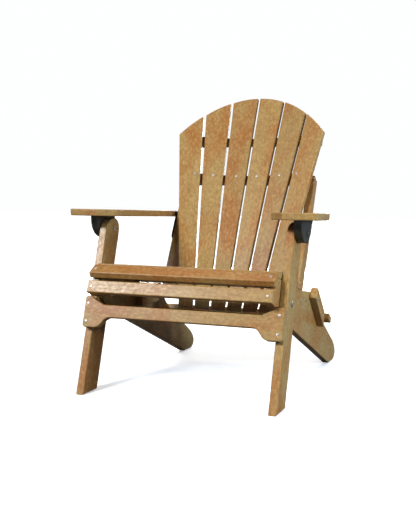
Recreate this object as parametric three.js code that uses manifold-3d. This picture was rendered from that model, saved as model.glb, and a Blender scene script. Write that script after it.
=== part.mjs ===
// A folding adirondack chair in poly lumber, built board by board.
// Millimetres, +Z up, +X to the sitter's left, the chair faces -Y, the floor is Z = 0.
//
// Four groups of boards move on horizontal pivots across the chair: the seat frame with its
// raked rear legs, the front legs with their apron, the two arms, and the back. Seen from the
// side the four pivots are the corners of a parallelogram, so the chair folds as one linkage.

import * as THREE from 'three';
import { mergeVertices } from 'three/addons/utils/BufferGeometryUtils.js';
import Module from 'manifold-3d';

const wasm = await Module();
wasm.setup();

// ---------------------------------------------------------------- driving dimensions

const GAP = 0.3;                 // between pieces that touch
const RUNNING_GAP = 0.7;         // between boards that swing past each other
const EASE = 2;                  // chamfer on every board edge
const CENTRE_Y = 428;            // from the front toe line to the middle of the chair

const FRAME_BOARD = 25;          // thickness of legs, side boards, uprights and rails
const SEAT_BOARD = 22;           // thickness of the seat, nose and stretcher boards
const BACK_BOARD = 18;           // thickness of the back slats

const LEG_OUTER_X = 330;
const LEG_INNER_X = LEG_OUTER_X - FRAME_BOARD;
const SIDE_OUTER_X = LEG_INNER_X - RUNNING_GAP;
const SIDE_INNER_X = SIDE_OUTER_X - FRAME_BOARD;
const CLEAT_INNER_X = SIDE_OUTER_X + GAP;
const UPRIGHT_OUTER_X = 254.5;
const UPRIGHT_INNER_X = UPRIGHT_OUTER_X - FRAME_BOARD;
const BLOCK_INNER_X = UPRIGHT_OUTER_X + RUNNING_GAP;
const BLOCK_OUTER_X = SIDE_INNER_X - GAP;
const PLATE_THICKNESS = 3;
const BRACKET_INNER_X = LEG_OUTER_X + RUNNING_GAP;
const BRACKET_OUTER_X = BRACKET_INNER_X + FRAME_BOARD;

// The four pivots, as [distance behind the toe line, height].
const LEG_PIVOT = [148, 306];
const ARM_PIVOT = [224, 514];
const BACK_PIVOT = [522, 262];
const REAR_ARM_PIVOT = [
  BACK_PIVOT[0] + ARM_PIVOT[0] - LEG_PIVOT[0],
  BACK_PIVOT[1] + ARM_PIVOT[1] - LEG_PIVOT[1],
];

const LEG_LEAN = THREE.MathUtils.degToRad(17.9);
const LEG_DEPTH = 89;
const LEG_TOP_RADIUS = 34;

const ARM_SLOPE = THREE.MathUtils.degToRad(2.4);
const ARM_THICKNESS = 22;
const ARM_CLEARANCE = 41;        // from the arm pivot up to the arm's underside
const ARM_INNER_X = 258.6;
const BRACKET_RADIUS = 62;
const BRACKET_CENTRE = 214;      // distance of the bracket's middle behind the toe line

const BACK_LEAN = THREE.MathUtils.degToRad(25.5);
const BACK_FACE = 320;           // middle of the slats' front, measured square to the back
const SLAT_BOTTOM = 400;         // distances up the slope of the back
const SLAT_TOP = 1244;
const SLAT_ARCH = { halfWidth: 430, height: 710 };   // the ellipse across the slats' tops
const SLAT_PITCH = 86.6;         // at the dish level
const SLAT_FAN = 0.0543;         // growth of the pitch per unit of distance up the back
const OUTER_EDGE_FAN = 0.154;    // growth of the back's half width per unit of distance up
const OUTER_EDGE_HALF_WIDTH = 253.8;   // at the dish level
const SLAT_GAP = 9;
const DISH_RADIUS = 850;         // the back is dished across its width
const DISH_LEVEL = 916;
const UPRIGHT_FRONT = 314;
const UPRIGHT_REAR = 376;
const UPRIGHT_BOTTOM = 442;
const RAIL_TOPS = { upper: 1083, middle: 928.5, lower: 497.5 };
const RAIL_REARS = { upper: 364, middle: UPRIGHT_REAR, lower: 362 };
const UPPER_RAIL_HALF_WIDTH = 258;

// The side boards' top edge under the seat slats, as [distance back, height].
const SEAT_LINE = [[97, 387], [163, 377], [231, 359], [299, 337], [367, 318.5]];
const SEAT_SLAT_GAP = 6;

const BOLT_RADIUS = 4;
const BOLT_CLEARANCE = 0.4;
const BOLT_HEAD = { radius: 9, height: 4 };
const NUT = { radius: 8, height: 7 };
const SCREW_RADIUS = 2;
const SCREW_HEAD = { radius: 5, height: 1.6 };
const SCREW_LENGTH = 36;
const ROUND_SEGMENTS = 14;

const SIDES = { left: 1, right: -1 };

// ---------------------------------------------------------------- materials

function lumber(colour) {
  return new THREE.MeshStandardMaterial({ color: colour, roughness: 0.62, metalness: 0 });
}

const MATERIALS = {
  seat: lumber(0xb98f62),
  frame: lumber(0x9a7f56),
  back: lumber(0xb48a5f),
  arm: lumber(0xb08a5c),
  leg: lumber(0xb0834f),
  bracket: new THREE.MeshStandardMaterial({ color: 0x2b2d2c, roughness: 0.5, metalness: 0 }),
  plate: new THREE.MeshStandardMaterial({ color: 0x2a2c2e, roughness: 0.45, metalness: 0.9 }),
  steel: new THREE.MeshStandardMaterial({ color: 0xc9ccd0, roughness: 0.3, metalness: 1 }),
};

// ---------------------------------------------------------------- geometry helpers

function toSolid(geometry) {
  const bare = geometry.clone();
  bare.deleteAttribute('normal');
  bare.deleteAttribute('uv');
  const merged = mergeVertices(bare, 1e-3);
  return new wasm.Manifold(new wasm.Mesh({
    numProp: 3,
    vertProperties: new Float32Array(merged.attributes.position.array),
    triVerts: new Uint32Array(merged.index.array),
  }));
}

function toGeometry(solid) {
  const mesh = solid.getMesh();
  const geometry = new THREE.BufferGeometry();
  geometry.setAttribute('position', new THREE.BufferAttribute(mesh.vertProperties, 3));
  geometry.setIndex(new THREE.BufferAttribute(mesh.triVerts, 1));
  const faceted = geometry.toNonIndexed();
  faceted.computeVertexNormals();
  return faceted;
}

function cut(geometry, cutters) {
  const bodies = cutters.map(toSolid);
  const result = bodies.reduce((solid, body) => solid.subtract(body), toSolid(geometry));
  return toGeometry(result);
}

function outline(points) {
  return new THREE.Shape(points.map(([x, y]) => new THREE.Vector2(x, y)));
}

// A board of the given outline with eased edges, lying from z = 0 to z = thickness.
function board(shape, thickness, ease = EASE) {
  const geometry = new THREE.ExtrudeGeometry(shape, {
    depth: thickness - 2 * ease,
    bevelThickness: ease,
    bevelSize: ease,
    bevelOffset: -ease,
    bevelSegments: 1,
    curveSegments: 7,
  });
  return geometry.translate(0, 0, ease);
}

// The matrix that lays local x, y and z along three directions from an origin.
function layAlong(xAxis, yAxis, origin) {
  const x = new THREE.Vector3(...xAxis);
  const y = new THREE.Vector3(...yAxis);
  const z = new THREE.Vector3().crossVectors(x, y);
  return new THREE.Matrix4().makeBasis(x, y, z).setPosition(...origin);
}

// A board drawn as (distance back, height), standing between two distances across the chair.
function sideBoard(shape, sign, innerX, thickness = FRAME_BOARD) {
  const startX = sign > 0 ? innerX : -innerX - thickness;
  return board(shape, thickness).applyMatrix4(layAlong([0, 1, 0], [0, 0, 1], [startX, 0, 0]));
}

function turnFromY(geometry, direction) {
  const turn = new THREE.Quaternion();
  turn.setFromUnitVectors(new THREE.Vector3(0, 1, 0), new THREE.Vector3(...direction));
  return geometry.applyQuaternion(turn);
}

function stepAlong(point, direction, distance) {
  return point.map((value, axis) => value + direction[axis] * distance);
}

function rod(start, direction, radius, length) {
  const geometry = new THREE.CylinderGeometry(radius, radius, length, ROUND_SEGMENTS);
  geometry.translate(0, length / 2, 0);
  return turnFromY(geometry, direction).translate(...start);
}

// A domed head with a shank. The head's seat is at the start and the shank runs on from it.
function fastener(start, direction, head, shankRadius, length) {
  const profile = [
    [0, -head.height],
    [head.radius * 0.55, -head.height * 0.88],
    [head.radius * 0.9, -head.height * 0.45],
    [head.radius, 0],
    [shankRadius, 0],
    [shankRadius, length],
    [0, length],
  ].map(([x, y]) => new THREE.Vector2(x, y));
  const geometry = new THREE.LatheGeometry(profile, ROUND_SEGMENTS);
  return turnFromY(geometry, direction).translate(...start);
}

// ---------------------------------------------------------------- the assembly

const chair = new THREE.Group();
chair.position.y = -CENTRE_Y;

function add(name, geometry, material) {
  const mesh = new THREE.Mesh(geometry, material);
  mesh.name = name;
  chair.add(mesh);
}

// A screw through a board's surface, and the pilot hole that it leaves in the boards.
function addScrew(name, surface, direction) {
  const seat = stepAlong(surface, direction, -GAP);
  add(name, fastener(seat, direction, SCREW_HEAD, SCREW_RADIUS, SCREW_LENGTH), MATERIALS.steel);
}

function pilotHole(surface, direction) {
  const start = stepAlong(surface, direction, -2);
  return rod(start, direction, SCREW_RADIUS + GAP, SCREW_LENGTH + 3);
}

// A pivot bolt whose head is at headX and whose shank ends at endX.
function addBolt(name, [back, height], sign, headX, endX) {
  const direction = [Math.sign(endX - headX) * sign, 0, 0];
  const length = Math.abs(endX - headX);
  const start = [sign * headX, back, height];
  add(name, fastener(start, direction, BOLT_HEAD, BOLT_RADIUS, length), MATERIALS.steel);
}

// A bolt hole right through everything between two distances across the chair.
function boltHole([back, height], sign, fromX, toX) {
  const radius = BOLT_RADIUS + BOLT_CLEARANCE;
  return rod([sign * fromX, back, height], [sign, 0, 0], radius, toX - fromX);
}

function addNut(name, [back, height], sign, outerX) {
  const middleX = sign * (outerX - NUT.height / 2);
  const hexagon = new THREE.CylinderGeometry(NUT.radius, NUT.radius, NUT.height, 6);
  hexagon.rotateZ(Math.PI / 2).translate(middleX, back, height);
  const hole = boltHole([back, height], sign, outerX - NUT.height - 1, outerX + 1);
  add(name, cut(hexagon, [hole]), MATERIALS.steel);
}

// ---------------------------------------------------------------- front legs and apron

const LEG_UP = [0, Math.sin(LEG_LEAN), Math.cos(LEG_LEAN)];
const LEG_REARWARD = [0, Math.cos(LEG_LEAN), -Math.sin(LEG_LEAN)];
const APRON_SCREWS = { upper: [317.5, 290.4], lower: [317.5, 233] };

function legShape() {
  const lean = Math.tan(LEG_LEAN);
  const footDepth = LEG_DEPTH / Math.cos(LEG_LEAN);
  const [pivotY, pivotZ] = ARM_PIVOT;
  const rearEnd = pivotZ - 12;
  const shoulder = pivotZ + 3;
  const shape = new THREE.Shape();
  shape.moveTo(0, 0);
  shape.lineTo(footDepth, 0);
  shape.lineTo(footDepth + rearEnd * lean, rearEnd);
  shape.absarc(pivotY, pivotZ, LEG_TOP_RADIUS, 0, Math.PI * 0.52, false);
  shape.quadraticCurveTo(shoulder * lean + 14, pivotZ + 31, shoulder * lean, shoulder);
  return shape;
}

// Half of the apron's outline, as (distance across, distance up the leg).
function apronShape() {
  const half = [
    [230, 248.5], [243, 247.5], [254, 241], [263, 230], [272, 219], [284, 213.6],
    [324, 213.6], [LEG_OUTER_X, 220], [LEG_OUTER_X, 308], [325, 313.5],
    [311, 313.5], [290, 302], [263, 288],
  ];
  const otherHalf = half.map(([x, y]) => [-x, y]).reverse();
  return outline([...half, ...otherHalf]);
}

function apronScrewSeat(sign, [across, up]) {
  const onFace = stepAlong([sign * across, 0, 0], LEG_UP, up);
  return stepAlong(onFace, LEG_REARWARD, -FRAME_BOARD - GAP);
}

function buildFrontLegs() {
  const pilots = [];
  for (const [side, sign] of Object.entries(SIDES)) {
    const sidePilots = [];
    for (const [level, place] of Object.entries(APRON_SCREWS)) {
      const seat = apronScrewSeat(sign, place);
      addScrew(`apron_screw_${level}_${side}`, seat, LEG_REARWARD);
      sidePilots.push(pilotHole(seat, LEG_REARWARD));
    }
    const leg = sideBoard(legShape(), sign, LEG_INNER_X);
    const legHole = boltHole(LEG_PIVOT, sign, LEG_INNER_X - 1, LEG_OUTER_X + 1);
    const armHole = boltHole(ARM_PIVOT, sign, LEG_INNER_X - 1, LEG_OUTER_X + 1);
    add(`front_leg_${side}`, cut(leg, [legHole, armHole, ...sidePilots]), MATERIALS.leg);
    pilots.push(...sidePilots);
  }
  const lifted = stepAlong([0, 0, 0], LEG_REARWARD, -GAP);
  const apron = board(apronShape(), FRAME_BOARD).applyMatrix4(layAlong([1, 0, 0], LEG_UP, lifted));
  add('apron', cut(apron, pilots), MATERIALS.leg);
}

// ---------------------------------------------------------------- seat frame

const NOSE_TILT = THREE.MathUtils.degToRad(66.5);
const NOSE_FOOT = [27, 325];     // front bottom edge of the nose board
const NOSE_HEIGHT = 40;
const FRONT_SLAT_TILT = THREE.MathUtils.degToRad(28.3);
const FRONT_SLAT_EDGE = [46, 386];
const FRONT_SLAT_DEPTH = 44;
const EDGE_SCREW_X = 290;
const REAR_EDGE = [[602, 203], [770, 102]];
const STRETCHER_START = 33;
const STRETCHER_DEPTH = 40;
const CLEAT_OUTLINE = [[451, 285], [477, 316], [577, 218], [565, 168]];
const BACK_BOLT_END_X = SIDE_OUTER_X - 6;

// The side board is drawn along its upper edge, around the rear foot and back underneath.
function sideBoardShape() {
  const shape = new THREE.Shape();
  shape.moveTo(47.9, 316);
  shape.lineTo(73.4, 375.3);
  shape.lineTo(95, 386.9);
  SEAT_LINE.forEach(([y, z]) => shape.lineTo(y, z));
  shape.lineTo(457, 305);
  shape.lineTo(504, 299);
  shape.absarc(BACK_PIVOT[0], BACK_PIVOT[1], 38, Math.PI * 0.45, -Math.PI * 0.12, true);
  REAR_EDGE.forEach(([y, z]) => shape.lineTo(y, z));
  shape.lineTo(818, 74);
  shape.quadraticCurveTo(856, 45, 856, 26);
  shape.quadraticCurveTo(852, 2, 822, 0);
  shape.lineTo(757, 0);
  shape.lineTo(259, 208);
  shape.lineTo(113, 270);
  shape.quadraticCurveTo(97, 284, 99, 303);
  shape.lineTo(62, 306.8);
  return shape;
}

// A board across the chair, from its front top corner, rising towards the rear.
function crossBoard([back, height], tilt, depth, halfWidth) {
  const shape = outline([[-halfWidth, -depth], [halfWidth, -depth], [halfWidth, 0], [-halfWidth, 0]]);
  const forward = [0, -Math.cos(tilt), -Math.sin(tilt)];
  const geometry = board(shape, SEAT_BOARD);
  return geometry.applyMatrix4(layAlong([1, 0, 0], forward, [0, back, height]));
}

// A board across the chair that lies on the side boards' edge between two of its corners.
function boardOnEdge(from, to, inset, depth, halfWidth) {
  const tilt = Math.atan2(to[1] - from[1], to[0] - from[0]);
  const along = [Math.cos(tilt), Math.sin(tilt)];
  const lift = SEAT_BOARD + GAP;
  const corner = [
    from[0] + along[0] * inset - along[1] * lift,
    from[1] + along[1] * inset + along[0] * lift,
  ];
  return crossBoard(corner, tilt, depth, halfWidth);
}

// The screws that hold a crosswise board, in the middle of its top face.
function edgeScrews(name, [back, height], tilt, depth) {
  const inward = [0, Math.sin(tilt), -Math.cos(tilt)];
  return Object.entries(SIDES).map(([side, sign]) => {
    const surface = [
      sign * EDGE_SCREW_X,
      back + Math.cos(tilt) * depth / 2,
      height + Math.sin(tilt) * depth / 2,
    ];
    addScrew(`${name}_${side}`, surface, inward);
    return pilotHole(surface, inward);
  });
}

function hingeBlockShape() {
  const shape = new THREE.Shape();
  shape.moveTo(330, 240);
  shape.lineTo(500, 240);
  shape.lineTo(548, 246);
  shape.lineTo(548, 272);
  shape.quadraticCurveTo(542, 290, 522, 290);
  shape.lineTo(460, 300);
  shape.lineTo(330, 300);
  return shape;
}

function buildSeatFrame() {
  const nosePilots = edgeScrews('nose_screw', NOSE_FOOT, NOSE_TILT, NOSE_HEIGHT);
  const slatPilots = edgeScrews('front_slat_screw', FRONT_SLAT_EDGE, FRONT_SLAT_TILT, FRONT_SLAT_DEPTH);
  const nose = crossBoard(NOSE_FOOT, NOSE_TILT, NOSE_HEIGHT, SIDE_OUTER_X);
  add('nose_board', cut(nose, nosePilots), MATERIALS.seat);
  const frontSlat = crossBoard(FRONT_SLAT_EDGE, FRONT_SLAT_TILT, FRONT_SLAT_DEPTH, SIDE_OUTER_X);
  add('front_seat_slat', cut(frontSlat, slatPilots), MATERIALS.seat);

  SEAT_LINE.slice(1).forEach((end, index) => {
    const start = SEAT_LINE[index];
    const depth = Math.hypot(end[0] - start[0], end[1] - start[1]) - SEAT_SLAT_GAP;
    const slat = boardOnEdge(start, end, SEAT_SLAT_GAP / 2, depth, SIDE_OUTER_X);
    add(`seat_slat_${index + 1}`, slat, MATERIALS.seat);
  });

  const [edgeStart, edgeEnd] = REAR_EDGE;
  const stretcher = boardOnEdge(edgeStart, edgeEnd, STRETCHER_START, STRETCHER_DEPTH, LEG_OUTER_X);
  add('rear_stretcher', stretcher, MATERIALS.frame);

  for (const [side, sign] of Object.entries(SIDES)) {
    const pilots = [...nosePilots, ...slatPilots];
    const legHole = boltHole(LEG_PIVOT, sign, SIDE_INNER_X - 1, SIDE_OUTER_X + 1);
    const backHole = boltHole(BACK_PIVOT, sign, SIDE_INNER_X - 1, BACK_BOLT_END_X + 2);
    const stringer = sideBoard(sideBoardShape(), sign, SIDE_INNER_X);
    add(`side_board_${side}`, cut(stringer, [legHole, backHole, ...pilots]), MATERIALS.frame);

    const blockThickness = BLOCK_OUTER_X - BLOCK_INNER_X;
    const block = sideBoard(hingeBlockShape(), sign, BLOCK_INNER_X, blockThickness);
    const blockHole = boltHole(BACK_PIVOT, sign, BLOCK_INNER_X - 1, BLOCK_OUTER_X + 1);
    add(`hinge_block_${side}`, cut(block, [blockHole]), MATERIALS.frame);
    add(`cleat_${side}`, sideBoard(outline(CLEAT_OUTLINE), sign, CLEAT_INNER_X), MATERIALS.frame);

    const legBoltHead = LEG_OUTER_X + RUNNING_GAP;
    addBolt(`leg_pivot_bolt_${side}`, LEG_PIVOT, sign, legBoltHead, SIDE_INNER_X - 10);
    addNut(`leg_pivot_nut_${side}`, LEG_PIVOT, sign, SIDE_INNER_X - GAP);
    const backBoltHead = UPRIGHT_INNER_X - RUNNING_GAP;
    addBolt(`back_pivot_bolt_${side}`, BACK_PIVOT, sign, backBoltHead, BACK_BOLT_END_X);
  }
}

// ---------------------------------------------------------------- back

const BACK_UP = [0, Math.sin(BACK_LEAN), Math.cos(BACK_LEAN)];
const BACK_REARWARD = [0, Math.cos(BACK_LEAN), -Math.sin(BACK_LEAN)];
const SLATS_PER_SIDE = 3;
const BACK_SCREW_LEVEL = 916;
const BACK_SCREW_X = [40, 128, 197];
const OPEN_PIVOT_CLEARANCE = 1;

function slatPitch(level) {
  return SLAT_PITCH + SLAT_FAN * (level - DISH_LEVEL);
}

// The flat plane of one slat, tangent to the dish at the slat's middle.
function slatPlane(index) {
  const middle = (index + 0.5) * SLAT_PITCH;
  const turn = Math.asin(middle / DISH_RADIUS);
  const face = BACK_FACE - DISH_RADIUS * (1 - Math.cos(turn));
  const rearward = [
    Math.sin(turn),
    Math.cos(turn) * BACK_REARWARD[1],
    Math.cos(turn) * BACK_REARWARD[2],
  ];
  return { middle, turn, face, rearward };
}

// A point of the back: across the chair, square to the back, and up its slope.
function onBack(across, depth, level) {
  return stepAlong(stepAlong([across, 0, 0], BACK_REARWARD, depth), BACK_UP, level);
}

function slatFaceAt(index, across) {
  const { middle, turn, face } = slatPlane(index);
  return face - (across - middle) * Math.tan(turn);
}

function slatRearAt(index, across) {
  return slatFaceAt(index, across) + BACK_BOARD / Math.cos(slatPlane(index).turn);
}

function slatTopAt(across) {
  return SLAT_TOP - SLAT_ARCH.height * (1 - Math.sqrt(1 - (across / SLAT_ARCH.halfWidth) ** 2));
}

// The level at which a slat's edge runs out through the arch across the top of the back.
function archLevel(edgeAt) {
  let level = SLAT_TOP;
  for (let pass = 0; pass < 12; pass += 1) {
    level = slatTopAt(edgeAt(level));
  }
  return level;
}

function backSlat(index) {
  const { middle, turn, face, rearward } = slatPlane(index);
  const inner = (level) => index * slatPitch(level) + SLAT_GAP / 2;
  const outermost = (level) => OUTER_EDGE_HALF_WIDTH + OUTER_EDGE_FAN * (level - DISH_LEVEL);
  const nextGap = (level) => (index + 1) * slatPitch(level) - SLAT_GAP / 2;
  const outer = index === SLATS_PER_SIDE - 1 ? outermost : nextGap;
  const innerCorner = inner(archLevel(inner));
  const outerCorner = outer(archLevel(outer));
  const steps = 6;
  const points = [[inner(SLAT_BOTTOM), SLAT_BOTTOM], [outer(SLAT_BOTTOM), SLAT_BOTTOM]];
  for (let step = 0; step <= steps; step += 1) {
    const across = THREE.MathUtils.lerp(outerCorner, innerCorner, step / steps);
    points.push([across, slatTopAt(across)]);
  }
  const shape = outline(points.map(([across, level]) => [(across - middle) / Math.cos(turn), level]));
  const acrossSlat = stepAlong([Math.cos(turn), 0, 0], BACK_REARWARD, -Math.sin(turn));
  const origin = stepAlong(onBack(middle, face, 0), rearward, BACK_BOARD);
  return board(shape, BACK_BOARD).applyMatrix4(layAlong(acrossSlat, BACK_UP, origin));
}

// A flat rail behind the slats, hollowed along its front to follow the dish.
function railBoard(top, rear, halfWidth) {
  const pitch = slatPitch(top - FRAME_BOARD / 2);
  const last = SLATS_PER_SIDE - 1;
  const end = slatRearAt(last, halfWidth) + GAP;
  const front = [[-halfWidth, end]];
  for (let edge = -last; edge <= last; edge += 1) {
    const across = edge * pitch;
    const behind = Math.max(slatRearAt(edge - 1, across), slatRearAt(edge, across));
    front.push([across, behind + GAP]);
  }
  front.push([halfWidth, end]);
  const shape = outline([...front, [halfWidth, rear], [-halfWidth, rear]]);
  const origin = onBack(0, 0, top - FRAME_BOARD);
  return board(shape, FRAME_BOARD).applyMatrix4(layAlong([1, 0, 0], BACK_REARWARD, origin));
}

function upright(sign) {
  const corner = 15;
  const chamferRun = 37;
  const chamferDrop = 14;
  const top = RAIL_TOPS.middle;
  const shape = new THREE.Shape();
  shape.moveTo(UPRIGHT_FRONT, top);
  shape.absarc(UPRIGHT_FRONT + corner, UPRIGHT_BOTTOM + corner, corner, Math.PI, Math.PI * 1.5, false);
  shape.absarc(UPRIGHT_REAR - corner, UPRIGHT_BOTTOM + corner, corner, Math.PI * 1.5, Math.PI * 2, false);
  shape.lineTo(UPRIGHT_REAR, top - chamferDrop);
  shape.lineTo(UPRIGHT_REAR - chamferRun, top);
  const startX = sign > 0 ? UPRIGHT_INNER_X : -UPRIGHT_OUTER_X;
  const body = board(shape, FRAME_BOARD);
  body.applyMatrix4(layAlong(BACK_REARWARD, BACK_UP, [startX, 0, 0]));
  const pivotHole = boltHole(BACK_PIVOT, sign, UPRIGHT_INNER_X - 1, UPRIGHT_OUTER_X + 1);
  const openRadius = BOLT_RADIUS + OPEN_PIVOT_CLEARANCE;
  const openStart = [sign * (UPRIGHT_INNER_X - 1), ...REAR_ARM_PIVOT];
  const openHole = rod(openStart, [sign, 0, 0], openRadius, FRAME_BOARD + 2);
  return cut(body, [pivotHole, openHole]);
}

function buildBack() {
  const pilots = [];
  for (const [side, sign] of Object.entries(SIDES)) {
    BACK_SCREW_X.forEach((distance, place) => {
      const index = sign > 0 ? place : -place - 1;
      const across = sign * distance;
      const surface = onBack(across, slatFaceAt(index, across), BACK_SCREW_LEVEL);
      const { rearward } = slatPlane(index);
      addScrew(`back_screw_${side}_${place + 1}`, surface, rearward);
      pilots.push(pilotHole(surface, rearward));
    });
    add(`upright_${side}`, upright(sign), MATERIALS.frame);
  }
  for (let index = -SLATS_PER_SIDE; index < SLATS_PER_SIDE; index += 1) {
    add(`back_slat_${index + SLATS_PER_SIDE + 1}`, cut(backSlat(index), pilots), MATERIALS.back);
  }
  const betweenUprights = UPRIGHT_INNER_X - GAP;
  const upper = railBoard(RAIL_TOPS.upper, RAIL_REARS.upper, UPPER_RAIL_HALF_WIDTH);
  const middle = railBoard(RAIL_TOPS.middle, RAIL_REARS.middle, betweenUprights);
  const lower = railBoard(RAIL_TOPS.lower, RAIL_REARS.lower, betweenUprights);
  add('upper_rail', upper, MATERIALS.frame);
  add('middle_rail', cut(middle, pilots), MATERIALS.frame);
  add('lower_rail', lower, MATERIALS.frame);
}

// ---------------------------------------------------------------- arms

const ARM_FRONT = 106;
const ARM_REAR = 690;
const PLATE_TOP = 557;
const PLATE_FRONT = 617;
const PLATE_REAR = 673;
const PLATE_END_RADIUS = 16;

function armUnderside(back) {
  return ARM_PIVOT[1] + ARM_CLEARANCE - Math.tan(ARM_SLOPE) * (back - ARM_PIVOT[0]);
}

// The arm seen from above, as (distance across, distance back).
function armShape(sign) {
  const shape = new THREE.Shape();
  shape.moveTo(sign * ARM_INNER_X, ARM_REAR);
  shape.lineTo(sign * ARM_INNER_X, 158);
  shape.lineTo(sign * 308, ARM_FRONT);
  shape.lineTo(sign * 368, ARM_FRONT + 1);
  shape.lineTo(sign * 412, 120);
  shape.lineTo(sign * 412, 130);
  shape.quadraticCurveTo(sign * 398, 358, sign * 312, ARM_REAR);
  return shape;
}

function bracketShape() {
  const front = BRACKET_CENTRE - BRACKET_RADIUS;
  const rear = BRACKET_CENTRE + BRACKET_RADIUS;
  const middle = armUnderside(rear) - 5;
  const shape = new THREE.Shape();
  shape.moveTo(rear, armUnderside(rear) - GAP);
  shape.lineTo(front, armUnderside(front) - GAP);
  shape.absarc(BRACKET_CENTRE, middle, BRACKET_RADIUS, Math.PI, Math.PI * 2, false);
  return shape;
}

function rearPlateShape() {
  const [back, height] = REAR_ARM_PIVOT;
  const shape = new THREE.Shape();
  shape.moveTo(PLATE_REAR, PLATE_TOP);
  shape.lineTo(PLATE_FRONT, PLATE_TOP);
  shape.lineTo(PLATE_FRONT, PLATE_TOP - 20);
  shape.absarc(back, height, PLATE_END_RADIUS, Math.PI * 0.85, Math.PI * 1.8, false);
  shape.lineTo(PLATE_REAR, PLATE_TOP - 20);
  return shape;
}

function buildArms() {
  for (const [side, sign] of Object.entries(SIDES)) {
    const arm = board(armShape(sign), ARM_THICKNESS);
    const alongArm = [0, Math.cos(ARM_SLOPE), -Math.sin(ARM_SLOPE)];
    arm.applyMatrix4(layAlong([1, 0, 0], alongArm, [0, 0, armUnderside(0)]));
    add(`arm_${side}`, arm, MATERIALS.arm);

    const bracket = sideBoard(bracketShape(), sign, BRACKET_INNER_X);
    const bracketHole = boltHole(ARM_PIVOT, sign, BRACKET_INNER_X - 1, BRACKET_OUTER_X + 1);
    add(`arm_bracket_${side}`, cut(bracket, [bracketHole]), MATERIALS.bracket);
    addBolt(`arm_pivot_bolt_${side}`, ARM_PIVOT, sign, BRACKET_OUTER_X + GAP, LEG_INNER_X - 10);
    addNut(`arm_pivot_nut_${side}`, ARM_PIVOT, sign, LEG_INNER_X - RUNNING_GAP);

    const plateX = UPRIGHT_OUTER_X + RUNNING_GAP;
    const startX = sign > 0 ? plateX : -plateX - PLATE_THICKNESS;
    const plate = board(rearPlateShape(), PLATE_THICKNESS, 0.5);
    plate.applyMatrix4(layAlong([0, 1, 0], [0, 0, 1], [startX, 0, 0]));
    const plateHole = boltHole(REAR_ARM_PIVOT, sign, plateX - 1, plateX + PLATE_THICKNESS + 1);
    add(`rear_arm_plate_${side}`, cut(plate, [plateHole]), MATERIALS.plate);
    const rearHead = UPRIGHT_INNER_X - RUNNING_GAP;
    addBolt(`rear_arm_bolt_${side}`, REAR_ARM_PIVOT, sign, rearHead, plateX + PLATE_THICKNESS + 5);
  }
}

buildSeatFrame();
buildFrontLegs();
buildBack();
buildArms();

export default chair;
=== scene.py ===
"""The looks of a folding adirondack chair in poly lumber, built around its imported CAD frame.

Metres, +Z up, the chair faces -Y. Places on the chair are read from the frame's own nodes or
worked out from the few driving dimensions below.
"""

import math
import random

import bpy
from mathutils import Matrix, Vector


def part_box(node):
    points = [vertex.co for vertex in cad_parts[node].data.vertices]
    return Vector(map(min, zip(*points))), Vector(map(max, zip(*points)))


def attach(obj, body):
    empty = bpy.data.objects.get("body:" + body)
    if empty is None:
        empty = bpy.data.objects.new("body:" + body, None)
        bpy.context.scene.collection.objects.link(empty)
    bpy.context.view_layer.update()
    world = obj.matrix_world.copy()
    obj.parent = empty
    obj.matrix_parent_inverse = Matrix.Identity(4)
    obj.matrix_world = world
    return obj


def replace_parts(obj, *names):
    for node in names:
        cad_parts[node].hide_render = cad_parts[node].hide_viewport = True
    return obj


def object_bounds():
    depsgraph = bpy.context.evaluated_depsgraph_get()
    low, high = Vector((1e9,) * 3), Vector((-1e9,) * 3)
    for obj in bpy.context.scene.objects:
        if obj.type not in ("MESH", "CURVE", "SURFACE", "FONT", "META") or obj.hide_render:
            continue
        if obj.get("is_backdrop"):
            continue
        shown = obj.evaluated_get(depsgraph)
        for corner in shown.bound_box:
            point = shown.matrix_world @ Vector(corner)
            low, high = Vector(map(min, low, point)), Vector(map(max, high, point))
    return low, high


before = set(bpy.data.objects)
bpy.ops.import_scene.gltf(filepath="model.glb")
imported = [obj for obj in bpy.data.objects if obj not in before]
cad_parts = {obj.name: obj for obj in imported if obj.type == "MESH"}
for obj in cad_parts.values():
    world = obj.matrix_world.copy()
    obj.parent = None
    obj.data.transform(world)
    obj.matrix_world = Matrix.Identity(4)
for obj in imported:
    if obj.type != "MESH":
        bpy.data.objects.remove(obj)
MM = 0.001
SIDES = (("left", 1), ("right", -1))
X = Vector((1, 0, 0))

# ---------------------------------------------------------------- driving dimensions

BACK_LEAN = math.radians(25.5)
LEG_LEAN = math.radians(17.9)
ARM_SLOPE = math.radians(2.4)
SIDE_BOARD_FALL = math.radians(22.8)
CLEAT_FALL = math.radians(45)
STRETCHER_TILT = math.radians(-31)
NOSE_TILT = math.radians(66.5)
FRONT_SLAT_TILT = math.radians(28.3)
SEAT_STEPS = ((66, -10), (68, -18), (68, -22), (68, -18.5))  # each seat slat's run and rise
SEAT_TILTS = [math.atan2(rise, run) for run, rise in SEAT_STEPS]

SLATS_PER_SIDE = 3
SLAT_FAN = 0.0543
SLAT_PITCH = 0.0866
DISH_RADIUS = 0.850
SEAT_BOARD = 0.022
FRAME_BOARD = 0.025
EDGE_SCREW_X = 0.290

BACK_UP = Vector((0, math.sin(BACK_LEAN), math.cos(BACK_LEAN)))
BACK_REARWARD = Vector((0, math.cos(BACK_LEAN), -math.sin(BACK_LEAN)))
LEG_UP = Vector((0, math.sin(LEG_LEAN), math.cos(LEG_LEAN)))
LEG_REARWARD = Vector((0, math.cos(LEG_LEAN), -math.sin(LEG_LEAN)))
ARM_ALONG = Vector((0, math.cos(ARM_SLOPE), -math.sin(ARM_SLOPE)))

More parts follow.
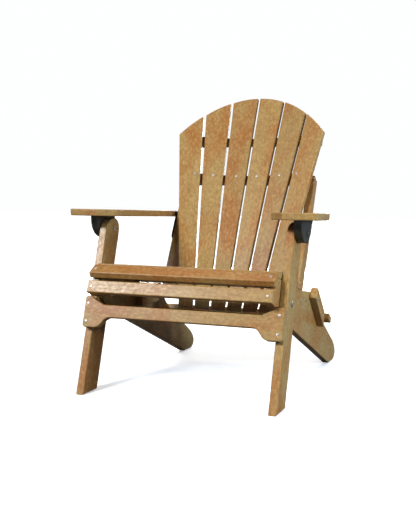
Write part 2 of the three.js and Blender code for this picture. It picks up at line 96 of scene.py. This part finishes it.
BOLT_HEAD_RADIUS = 9 * MM
BOLT_HEAD_HEIGHT = 4 * MM
BOLT_SHANK = 4 * MM
THREAD_PITCH = 1.25 * MM
THREAD_DEPTH = 0.55 * MM
BOLT_TIP_CHAMFER = 0.7 * MM
NUT_FLANGE_ROOM = 1.4 * MM
HEAD_GAP = 0.3 * MM
SCREW_RADIUS = 4.5 * MM
SCREW_HEIGHT = 1.6 * MM
SCREW_SHANK = 2 * MM
SCREW_LENGTH = 36 * MM
SHORT_SCREW_LENGTH = 18 * MM
FLUSH_SCREW_RADIUS = 3.4 * MM
FLUSH_SCREW_HEIGHT = 0.4 * MM
SEAT_SCREW_SPOTS = (-0.017, 0.017)
CLEAT_SCREW_SPOTS = (-0.048, 0.048)
RAIL_SCREW_SPOTS = (-0.006, 0.020)
HINGE_BLOCK_SCREW_SPOTS = ((-0.095, 0.018), (-0.030, 0.012))


def save_bounds(key, store):
    low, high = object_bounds()
    store[key] = [list(low), list(high)]


sizes = {}
save_bounds("cad", sizes)

# ---------------------------------------------------------------- node helpers


class Nodes:
    """A short way to write a material's node tree."""

    def __init__(self, name):
        self.material = bpy.data.materials.new(name)
        self.material.use_nodes = True
        self.tree = self.material.node_tree
        self.shader = self.tree.nodes["Principled BSDF"]

    def add(self, kind, **values):
        node = self.tree.nodes.new("ShaderNode" + kind)
        for key, value in values.items():
            setattr(node, key, value)
        return node

    def link(self, output, socket):
        self.tree.links.new(output, socket)

    def noise(self, coordinates, scale, detail=4.0, roughness=0.55, distortion=0.0):
        node = self.add("TexNoise")
        node.inputs["Scale"].default_value = scale
        node.inputs["Detail"].default_value = detail
        node.inputs["Roughness"].default_value = roughness
        node.inputs["Distortion"].default_value = distortion
        self.link(coordinates, node.inputs["Vector"])
        return node.outputs["Fac"]

    def stretch(self, coordinates, along, across):
        """Scales the pattern space, so that a pattern runs out along its first axis."""
        node = self.add("Mapping")
        node.inputs["Scale"].default_value = (along, across, across)
        self.link(coordinates, node.inputs["Vector"])
        return node.outputs["Vector"]

    def spread(self, value, low, high, to_low=0.0, to_high=1.0):
        node = self.add("MapRange")
        node.inputs["From Min"].default_value = low
        node.inputs["From Max"].default_value = high
        node.inputs["To Min"].default_value = to_low
        node.inputs["To Max"].default_value = to_high
        self.link(value, node.inputs["Value"])
        return node.outputs["Result"]

    def mix(self, factor, first, second, blend="MIX"):
        node = self.add("Mix", data_type="RGBA", blend_type=blend)
        for value, index in ((factor, 0), (first, 6), (second, 7)):
            if isinstance(value, bpy.types.NodeSocket):
                self.link(value, node.inputs[index])
            else:
                node.inputs[index].default_value = value
        return node.outputs[2]

    def math(self, operation, first, second):
        node = self.add("Math", operation=operation)
        for index, value in enumerate((first, second)):
            if isinstance(value, bpy.types.NodeSocket):
                self.link(value, node.inputs[index])
            else:
                node.inputs[index].default_value = value
        return node.outputs["Value"]

    def bump(self, height, strength, distance, before=None):
        node = self.add("Bump")
        node.inputs["Strength"].default_value = strength
        node.inputs["Distance"].default_value = distance
        self.link(height, node.inputs["Height"])
        if before is not None:
            self.link(before, node.inputs["Normal"])
        return node.outputs["Normal"]


# ---------------------------------------------------------------- materials

TAN = (0.290, 0.180, 0.064, 1)
CEDAR = (0.275, 0.110, 0.026, 1)
UMBER = (0.115, 0.060, 0.014, 1)
HONEY = (0.415, 0.285, 0.115, 1)


def lumber(name, along, seed, tint, rounding):
    """Wood-grained poly lumber whose grain runs in one direction: mottled tan and cedar."""
    n = Nodes(name)
    place = n.add("TexCoord").outputs["Object"]
    turn = n.add("Mapping")
    turn.inputs["Rotation"].default_value = along.rotation_difference(X).to_euler()
    shifts = random.Random(seed)
    turn.inputs["Location"].default_value = [shifts.uniform(-9, 9) for _ in range(3)]
    n.link(place, turn.inputs["Vector"])
    grain = turn.outputs["Vector"]

    clouds = n.noise(n.stretch(grain, 5, 9), 1.0, 3, 0.5, 0.4)
    mottle = n.noise(n.stretch(grain, 75, 120), 1.0, 5, 0.66)
    speckle = n.noise(n.stretch(grain, 330, 430), 1.0, 2, 0.6)
    streaks = n.noise(n.stretch(grain, 9, 260), 1.0, 4, 0.6, 0.6)

    colour = n.mix(n.spread(clouds, 0.42, 0.62), TAN, CEDAR)
    colour = n.mix(n.spread(mottle, 0.50, 0.74, 0, 0.55), colour, UMBER)
    colour = n.mix(n.spread(mottle, 0.50, 0.28, 0, 0.75), colour, HONEY)
    colour = n.mix(n.spread(streaks, 0.52, 0.80, 0, 0.22), colour, UMBER)
    colour = n.mix(n.spread(speckle, 0.56, 0.80, 0, 0.30), colour, HONEY)
    colour = n.mix(1.0, colour, tint, "MULTIPLY")
    rounded = n.add("Bevel", samples=4)
    rounded.inputs["Radius"].default_value = rounding
    surface = n.add("NewGeometry").outputs["Normal"]
    facing = n.add("VectorMath", operation="DOT_PRODUCT")
    n.link(rounded.outputs["Normal"], facing.inputs[0])
    n.link(surface, facing.inputs[1])
    # Rounded edges are painted paler honey: partly edge wear, partly a painted highlight along the
    # corners.
    edge = n.spread(facing.outputs["Value"], 0.995, 0.90)
    worn_and_highlit_edge = n.math("MULTIPLY", edge, n.spread(mottle, 0.35, 0.70, 0.25, 0.75))
    colour = n.mix(worn_and_highlit_edge, colour, HONEY)
    n.link(colour, n.shader.inputs["Base Color"])

    satin = n.spread(mottle, 0.3, 0.7, 0.27, 0.42)
    rough = n.math("ADD", satin, n.spread(streaks, 0.4, 0.7, 0, 0.08))
    n.link(rough, n.shader.inputs["Roughness"])
    normal = n.bump(streaks, 0.35, 0.35 * MM, rounded.outputs["Normal"])
    normal = n.bump(mottle, 0.25, 0.5 * MM, normal)
    normal = n.bump(speckle, 0.2, 0.12 * MM, normal)
    n.link(normal, n.shader.inputs["Normal"])
    n.shader.inputs["Specular IOR Level"].default_value = 0.5
    return n.material


def steel(name, dark, bright, roughness):
    """Turned steel with fine brushing and faint water marks."""
    n = Nodes(name)
    place = n.add("TexCoord").outputs["Object"]
    marks = n.noise(place, 260, 4, 0.6)
    brushing = n.noise(n.stretch(place, 600, 3200), 1.0, 2, 0.5)
    n.link(n.mix(n.spread(marks, 0.35, 0.7), bright, dark), n.shader.inputs["Base Color"])
    rough = n.spread(marks, 0.3, 0.7, roughness - 0.07, roughness + 0.1)
    n.link(rough, n.shader.inputs["Roughness"])
    n.link(n.bump(brushing, 0.12, 0.05 * MM), n.shader.inputs["Normal"])
    n.shader.inputs["Metallic"].default_value = 1.0
    return n.material


def moulded(name, base, scuffed, metallic, roughness):
    """A dark moulded or coated surface with a fine grain and scuffed, dusty patches."""
    n = Nodes(name)
    place = n.add("TexCoord").outputs["Object"]
    grain = n.noise(place, 900, 2, 0.5)
    dust = n.noise(place, 28, 5, 0.65)
    colour = n.mix(n.spread(dust, 0.45, 0.8, 0, 0.6), base, scuffed)
    n.link(colour, n.shader.inputs["Base Color"])
    dusty = n.spread(dust, 0.3, 0.8, roughness, roughness + 0.2)
    rough = n.math("ADD", dusty, n.spread(grain, 0.3, 0.7, 0, 0.08))
    n.link(rough, n.shader.inputs["Roughness"])
    n.link(n.bump(grain, 0.3, 0.08 * MM), n.shader.inputs["Normal"])
    n.shader.inputs["Metallic"].default_value = metallic
    return n.material


STEEL = steel("stainless_steel", (0.80, 0.80, 0.79, 1), (0.95, 0.95, 0.94, 1), 0.52)
BLACK_STEEL = steel("blackened_steel", (0.16, 0.165, 0.17, 1), (0.40, 0.41, 0.42, 1), 0.45)
BRACKET = moulded("moulded_plastic", (0.024, 0.022, 0.018, 1), (0.07, 0.066, 0.056, 1), 0.0, 0.38)
PLATE = moulded("coated_steel", (0.022, 0.023, 0.025, 1), (0.06, 0.062, 0.066, 1), 0.3, 0.42)

# ---------------------------------------------------------------- boards

BOARD_ROUNDING = 0.9 * MM
SHADED_ROUNDING = 1.6 * MM
# The arms' larger rounding also widens their paler edges, a painted highlight on the corners.
SHADED_ARM_ROUNDING = 5 * MM


def dress(node, material):
    """Gives a CAD node its material, and rounds the corners that its chamfers leave."""
    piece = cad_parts[node]
    piece.data.materials.clear()
    piece.data.materials.append(material)
    for polygon in piece.data.polygons:
        polygon.use_smooth = True
    weld = piece.modifiers.new("weld", "WELD")
    weld.merge_threshold = 0.005 * MM
    bevel = piece.modifiers.new("round", "BEVEL")
    bevel.width = BOARD_ROUNDING
    bevel.segments = 2
    bevel.limit_method = "ANGLE"
    bevel.angle_limit = math.radians(28)
    normals = piece.modifiers.new("normals", "WEIGHTED_NORMAL")
    normals.keep_sharp = False
    return piece


def slat_direction(index):
    fan = (index + 0.5) * SLAT_FAN
    return (BACK_UP + X * fan).normalized()


GRAINS = {
    "nose_board": X,
    "front_seat_slat": X,
    "rear_stretcher": X,
    "apron": X,
    "upper_rail": X,
    "middle_rail": X,
    "lower_rail": X,
}
for index in range(len(SEAT_TILTS)):
    GRAINS[f"seat_slat_{index + 1}"] = X
for index in range(-SLATS_PER_SIDE, SLATS_PER_SIDE):
    GRAINS[f"back_slat_{index + SLATS_PER_SIDE + 1}"] = slat_direction(index)
for side, _ in SIDES:
    GRAINS[f"side_board_{side}"] = Vector((0, math.cos(SIDE_BOARD_FALL), -math.sin(SIDE_BOARD_FALL)))
    GRAINS[f"hinge_block_{side}"] = Vector((0, 1, 0))
    GRAINS[f"cleat_{side}"] = Vector((0, math.cos(CLEAT_FALL), -math.sin(CLEAT_FALL)))
    GRAINS[f"front_leg_{side}"] = LEG_UP
    GRAINS[f"upright_{side}"] = BACK_UP
    GRAINS[f"arm_{side}"] = ARM_ALONG

tints = random.Random(7)
for seed, (node, direction) in enumerate(sorted(GRAINS.items())):
    warmth = tints.uniform(-0.015, 0.02)
    level = tints.uniform(0.95, 1.03)
    tint = (level * (1 + warmth), level, level * (1 - warmth), 1)
    rounding = SHADED_ARM_ROUNDING if node.startswith("arm_") else SHADED_ROUNDING
    dress(node, lumber(f"lumber_{node}", direction.normalized(), seed, tint, rounding))
for side, _ in SIDES:
    dress(f"arm_bracket_{side}", BRACKET)
    dress(f"rear_arm_plate_{side}", PLATE)

# ---------------------------------------------------------------- fasteners

ROUND = 36


def turned_mesh(name, rings, start, direction):
    """A closed mesh from rings of (radius at an angle, distance along) about an axis."""
    turn = Vector((0, 0, 1)).rotation_difference(direction).to_matrix().to_4x4()
    place = Matrix.Translation(start) @ turn
    vertices = []
    faces = []
    for radius_at, along in rings:
        for step in range(ROUND):
            angle = math.tau * step / ROUND
            radius = radius_at(angle) if callable(radius_at) else radius_at
            vertices.append(place @ Vector((radius * math.cos(angle), radius * math.sin(angle), along)))
    for ring in range(len(rings) - 1):
        for step in range(ROUND):
            after = (step + 1) % ROUND
            a, b = ring * ROUND + step, ring * ROUND + after
            faces.append((a, b, b + ROUND, a + ROUND))
    for ring in (0, len(rings) - 1):
        centre = len(vertices)
        vertices.append(place @ Vector((0, 0, rings[ring][1])))
        for step in range(ROUND):
            edge = (ring * ROUND + step, ring * ROUND + (step + 1) % ROUND)
            faces.append((centre, *reversed(edge)) if ring == 0 else (centre, *edge))
    mesh = bpy.data.meshes.new(name)
    mesh.from_pydata(vertices, [], faces)
    mesh.validate()
    mesh.shade_smooth()
    return mesh


def fastener(name, rings, start, direction, body, material=STEEL):
    piece = bpy.data.objects.new(name, turned_mesh(name, rings, start, direction))
    bpy.context.scene.collection.objects.link(piece)
    piece.data.materials.append(material)
    split = piece.modifiers.new("edges", "EDGE_SPLIT")
    split.split_angle = math.radians(35)
    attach(piece, body)
    return piece


def star(outer, inner, lobes=6):
    """The radius at each angle of a lobed driver recess."""
    middle, swing = (outer + inner) / 2, (outer - inner) / 2
    return lambda angle: middle + swing * math.cos(lobes * angle)


def screw_rings(radius, height, length):
    recess = star(0.46 * radius, 0.34 * radius)
    return [
        (recess, -0.15 * height),
        (recess, -height),
        (0.56 * radius, -height),
        (0.74 * radius, -0.93 * height),
        (0.90 * radius, -0.66 * height),
        (0.98 * radius, -0.26 * height),
        (radius, -0.08 * height),
        (0.97 * radius, 0),
        (SCREW_SHANK, 0),
        (SCREW_SHANK, length),
    ]


def thread(radius, depth, pitch):
    """A function of distance along that gives a screw thread's radius at each angle."""
    def at(along):
        def radius_at(angle):
            phase = (along / pitch - angle / math.tau) % 1
            return radius - depth * abs(2 * phase - 1)
        return radius_at
    return at


def bolt_rings(head_radius, head_height, shank, length, threaded):
    rings = [
        (0.30 * head_radius, -0.995 * head_height),
        (0.55 * head_radius, -0.92 * head_height),
        (0.78 * head_radius, -0.70 * head_height),
        (0.93 * head_radius, -0.38 * head_height),
        (head_radius, -0.08 * head_height),
        (0.97 * head_radius, 0),
        (shank, 0),
        (shank, length - threaded),
    ]
    cut = thread(shank, THREAD_DEPTH, THREAD_PITCH)
    steps = int(threaded / THREAD_PITCH * 4)
    for step in range(1, steps):
        along = length - threaded + threaded * step / steps
        rings.append((cut(along), along))
    rings.append((shank - BOLT_TIP_CHAMFER, length))
    return rings


def hexagon(across_flats):
    def radius_at(angle):
        off = (angle % (math.pi / 3)) - math.pi / 6
        return across_flats / 2 / math.cos(off)
    return radius_at


def flange_nut_rings(across_flats, height):
    flats = hexagon(across_flats)
    inscribed = across_flats / 2

    def cornered(share):
        return lambda angle: min(flats(angle), inscribed * share)

    return [
        (1.30 * inscribed, 0),
        (1.38 * inscribed, 0.06 * height),
        (1.34 * inscribed, 0.16 * height),
        (1.16 * inscribed, 0.24 * height),
        (flats, 0.27 * height),
        (flats, 0.84 * height),
        (cornered(1.08), 0.90 * height),
        (cornered(1.00), height),
        (0.66 * inscribed, height),
        (0.60 * inscribed, 0.94 * height),
    ]


def ends_along(node, direction):
    """The middles of a turned CAD node's two ends, along its axis."""
    points = [vertex.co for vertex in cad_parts[node].data.vertices]
    reaches = [point.dot(direction) for point in points]
    ends = []
    for limit in (min(reaches), max(reaches)):
        flat = [point for point, reach in zip(points, reaches) if abs(reach - limit) < 0.01 * MM]
        ends.append(sum(flat, Vector()) / len(flat))
    return ends


def replace_screw(node, direction, body):
    _, tip = ends_along(node, direction)
    rings = screw_rings(SCREW_RADIUS, SCREW_HEIGHT, SCREW_LENGTH)
    start = tip - direction * SCREW_LENGTH
    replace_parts(fastener(f"screw_{node}", rings, start, direction, body), node)


def replace_bolt(node, direction, body, threaded, material=STEEL):
    top, tip = ends_along(node, direction)
    length = (tip - top).length - BOLT_HEAD_HEIGHT
    rings = bolt_rings(BOLT_HEAD_RADIUS, BOLT_HEAD_HEIGHT, BOLT_SHANK, length, threaded)
    start = top + direction * BOLT_HEAD_HEIGHT
    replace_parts(fastener(f"bolt_{node}", rings, start, direction, body, material), node)


def replace_nut(node, direction, body):
    """A flanged nut whose flange is towards the board."""
    low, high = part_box(node)
    height = high.x - low.x
    start = (low + high) / 2 - direction * height / 2
    rings = flange_nut_rings(high.z - low.z - NUT_FLANGE_ROOM, height)
    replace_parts(fastener(f"nut_{node}", rings, start, direction, body), node)


def add_screw(name, place, direction, body, radius=SCREW_RADIUS, height=SCREW_HEIGHT):
    """A screw that the frame leaves out, with its head on a board's surface."""
    rings = screw_rings(radius, height, SHORT_SCREW_LENGTH)
    fastener(name, rings, Vector(place) - direction * HEAD_GAP, direction, body)


def tilted(tilt):
    """The way back along a board that rises at a tilt, and the way in through its top."""
    along = Vector((0, math.cos(tilt), math.sin(tilt)))
    inward = Vector((0, math.sin(tilt), -math.cos(tilt)))
    return along, inward


def box_middle(node):
    low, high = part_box(node)
    return (low + high) / 2


def screw_board(node, tilt, thickness, spots, body):
    """Screws through the top of a board across the chair, near both of its ends."""
    along, inward = tilted(tilt)
    middle = box_middle(node) - inward * thickness / 2
    for side, sign in SIDES:
        for place, spot in enumerate(spots):
            surface = middle + along * spot + X * sign * EDGE_SCREW_X
            name = f"{node}_screw_{side}_{place + 1}"
            add_screw(name, surface, inward, body, FLUSH_SCREW_RADIUS, FLUSH_SCREW_HEIGHT)


NOSE_IN = tilted(NOSE_TILT)[1]
FRONT_SLAT_IN = tilted(FRONT_SLAT_TILT)[1]

for side, sign in SIDES:
    outward = X * sign
    replace_screw(f"nose_screw_{side}", NOSE_IN, "seat_frame")
    replace_screw(f"front_slat_screw_{side}", FRONT_SLAT_IN, "seat_frame")
    for level in ("upper", "lower"):
        replace_screw(f"apron_screw_{level}_{side}", LEG_REARWARD, "front_legs")
    for place in range(SLATS_PER_SIDE):
        turn = math.asin((place + 0.5) * SLAT_PITCH / DISH_RADIUS)
        inward = (BACK_REARWARD * math.cos(turn) + outward * math.sin(turn)).normalized()
        replace_screw(f"back_screw_{side}_{place + 1}", inward, "back")
    replace_bolt(f"leg_pivot_bolt_{side}", -outward, "seat_frame", threaded=18 * MM)
    replace_bolt(f"back_pivot_bolt_{side}", outward, "seat_frame", threaded=10 * MM)
    arm = f"arm_{side}"
    replace_bolt(f"arm_pivot_bolt_{side}", -outward, arm, threaded=18 * MM, material=BLACK_STEEL)
    replace_bolt(f"rear_arm_bolt_{side}", outward, arm, threaded=8 * MM)
    replace_nut(f"leg_pivot_nut_{side}", -outward, "seat_frame")
    replace_nut(f"arm_pivot_nut_{side}", -outward, arm)

for index, tilt in enumerate(SEAT_TILTS):
    screw_board(f"seat_slat_{index + 1}", tilt, SEAT_BOARD, SEAT_SCREW_SPOTS, "seat_frame")
screw_board("rear_stretcher", STRETCHER_TILT, SEAT_BOARD, (0,), "seat_frame")

for side, sign in SIDES:
    outward = X * sign
    cleat_along = GRAINS[f"cleat_{side}"]
    cleat_face = box_middle(f"cleat_{side}") + outward * FRAME_BOARD / 2
    block_face = box_middle(f"side_board_{side}") + outward * FRAME_BOARD / 2
    block = box_middle(f"hinge_block_{side}")
    for place, spot in enumerate(CLEAT_SCREW_SPOTS):
        surface = cleat_face + cleat_along * spot
        add_screw(f"cleat_screw_{side}_{place + 1}", surface, -outward, "seat_frame")
    for place, (back, height) in enumerate(HINGE_BLOCK_SCREW_SPOTS):
        surface = Vector((block_face.x, block.y + back, block.z + height))
        add_screw(f"hinge_block_screw_{side}_{place + 1}", surface, -outward, "seat_frame")
    rail = box_middle("middle_rail")
    upright_low, upright_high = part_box(f"upright_{side}")
    upright_face = upright_high.x if sign > 0 else upright_low.x
    for place, spot in enumerate(RAIL_SCREW_SPOTS):
        surface = rail + BACK_REARWARD * spot
        surface.x = upright_face
        add_screw(f"rail_screw_{side}_{place + 1}", surface, -outward, "back")

bpy.context.view_layer.update()

# ---------------------------------------------------------------- studio and camera

CAMERA_PLACE = (1.005, -2.680, 0.679)
CAMERA_YAW = math.radians(21.50)
CAMERA_PITCH = math.radians(-5.95)
CAMERA_ROLL = math.radians(0.21)
CAMERA_LENS = 56.5


def add_camera():
    data = bpy.data.cameras.new("camera")
    data.sensor_width = 36
    data.lens = CAMERA_LENS
    camera = bpy.data.objects.new("camera", data)
    bpy.context.scene.collection.objects.link(camera)
    yaw, pitch, roll = CAMERA_YAW, CAMERA_PITCH, CAMERA_ROLL
    level = Vector((math.cos(yaw), math.sin(yaw), 0))
    ahead = Vector((-math.sin(yaw), math.cos(yaw), 0))
    forward = ahead * math.cos(pitch) + Vector((0, 0, math.sin(pitch)))
    upward = level.cross(forward)
    right = level * math.cos(roll) + upward * math.sin(roll)
    up = right.cross(forward)
    turn = Matrix((right, up, -forward)).transposed()
    camera.matrix_world = Matrix.Translation(CAMERA_PLACE) @ turn.to_4x4()
    bpy.context.scene.camera = camera


FLOOR_REACH = 12
FLOOR_HEIGHT = -1 * MM
FLOOR_BOUNCE = (0.06, 0.058, 0.05, 1)
FLOOR_GLOW = 0.30


def add_floor():
    """A pale floor for the camera, which throws only a little light back on the chair."""
    mesh = bpy.data.meshes.new("floor")
    corners = [
        (FLOOR_REACH * x, FLOOR_REACH * y, FLOOR_HEIGHT)
        for x, y in ((-1, -1), (1, -1), (1, 1), (-1, 1))
    ]
    mesh.from_pydata(corners, [], [(0, 1, 2, 3)])
    floor = bpy.data.objects.new("floor", mesh)
    bpy.context.scene.collection.objects.link(floor)
    n = Nodes("pale_floor")
    patches = n.noise(n.add("TexCoord").outputs["Object"], 3, 3)
    pale = n.mix(patches, (0.90, 0.92, 0.95, 1), (0.93, 0.95, 0.98, 1))
    seen = n.add("LightPath").outputs["Is Camera Ray"]
    n.link(n.mix(seen, FLOOR_BOUNCE, pale), n.shader.inputs["Base Color"])
    n.link(n.math("MULTIPLY", seen, FLOOR_GLOW), n.shader.inputs["Emission Strength"])
    n.shader.inputs["Emission Color"].default_value = (1, 1, 1, 1)
    n.shader.inputs["Roughness"].default_value = 0.9
    mesh.materials.append(n.material)
    floor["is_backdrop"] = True


def add_lamp(data, place, target):
    lamp = bpy.data.objects.new(data.name, data)
    lamp.location = place
    lamp.rotation_euler = (Vector(target) - Vector(place)).to_track_quat("-Z", "Y").to_euler()
    bpy.context.scene.collection.objects.link(lamp)
    return lamp


def add_sun(name, place, strength, spread, colour):
    """A large distant softbox: the same light all over the floor, with soft shadows."""
    data = bpy.data.lights.new(name, "SUN")
    data.energy = strength
    data.angle = math.radians(spread)
    data.color = colour
    return add_lamp(data, place, (0, 0, 0))


def add_softbox(name, place, target, size, power, colour):
    data = bpy.data.lights.new(name, "AREA")
    data.shape = "DISK"
    data.size = size
    data.energy = power
    data.color = colour
    return add_lamp(data, place, target)


def add_world(colour, seen, reflected, ambient):
    """A white backdrop with its own brightness for the camera, for gloss and as a light."""
    world = bpy.data.worlds.new("studio")
    world.use_nodes = True
    tree = world.node_tree
    background = tree.nodes["Background"]
    background.inputs["Color"].default_value = colour
    path = tree.nodes.new("ShaderNodeLightPath")
    strength = None
    levels = (("Is Camera Ray", seen), ("Is Glossy Ray", reflected), ("Is Diffuse Ray", ambient))
    for ray, level in levels:
        share = tree.nodes.new("ShaderNodeMath")
        share.operation = "MULTIPLY_ADD"
        share.inputs[1].default_value = level
        share.inputs[2].default_value = 0
        tree.links.new(path.outputs[ray], share.inputs[0])
        if strength is not None:
            tree.links.new(strength, share.inputs[2])
        strength = share.outputs["Value"]
    tree.links.new(strength, background.inputs["Strength"])
    bpy.context.scene.world = world


add_camera()
add_floor()
add_world((0.99, 0.995, 1, 1), 1.0, 0.30, 0.06)
key = add_sun("key", (-0.7, -2.1, 1.6), 3.85, 14, (1.0, 0.98, 0.92))
add_sun("top", (0.5, 1.4, 2.6), 1.3, 40, (1.0, 1.0, 1.0))
add_softbox("front", (-0.8, -3.6, 0.45), (0, 0, 0.5), 0.7, 6, (1.0, 0.97, 0.90))
flank = add_softbox("side", (2.5, -2.3, 2.0), (0, 0, 0.5), 0.8, 42, (1.0, 0.97, 0.90))
fill = add_softbox("fill", (3.4, -0.3, 0.8), (0, 0, 0.4), 0.8, 118, (0.72, 0.94, 1.25))
add_softbox("rear", (-0.9, 3.4, 0.9), (0, 0.3, 0.5), 1.6, 90, (1.0, 0.98, 0.95))
gloss = add_softbox("gloss", (-2.40, -3.25, 2.60), (0, 0, 0.4), 0.8, 112, (1.0, 1.0, 1.0))
for soft in (key, fill, flank):
    soft.visible_glossy = False
gloss.visible_diffuse = False
bpy.context.scene.view_settings.view_transform = "Standard"

save_bounds("visual", sizes)
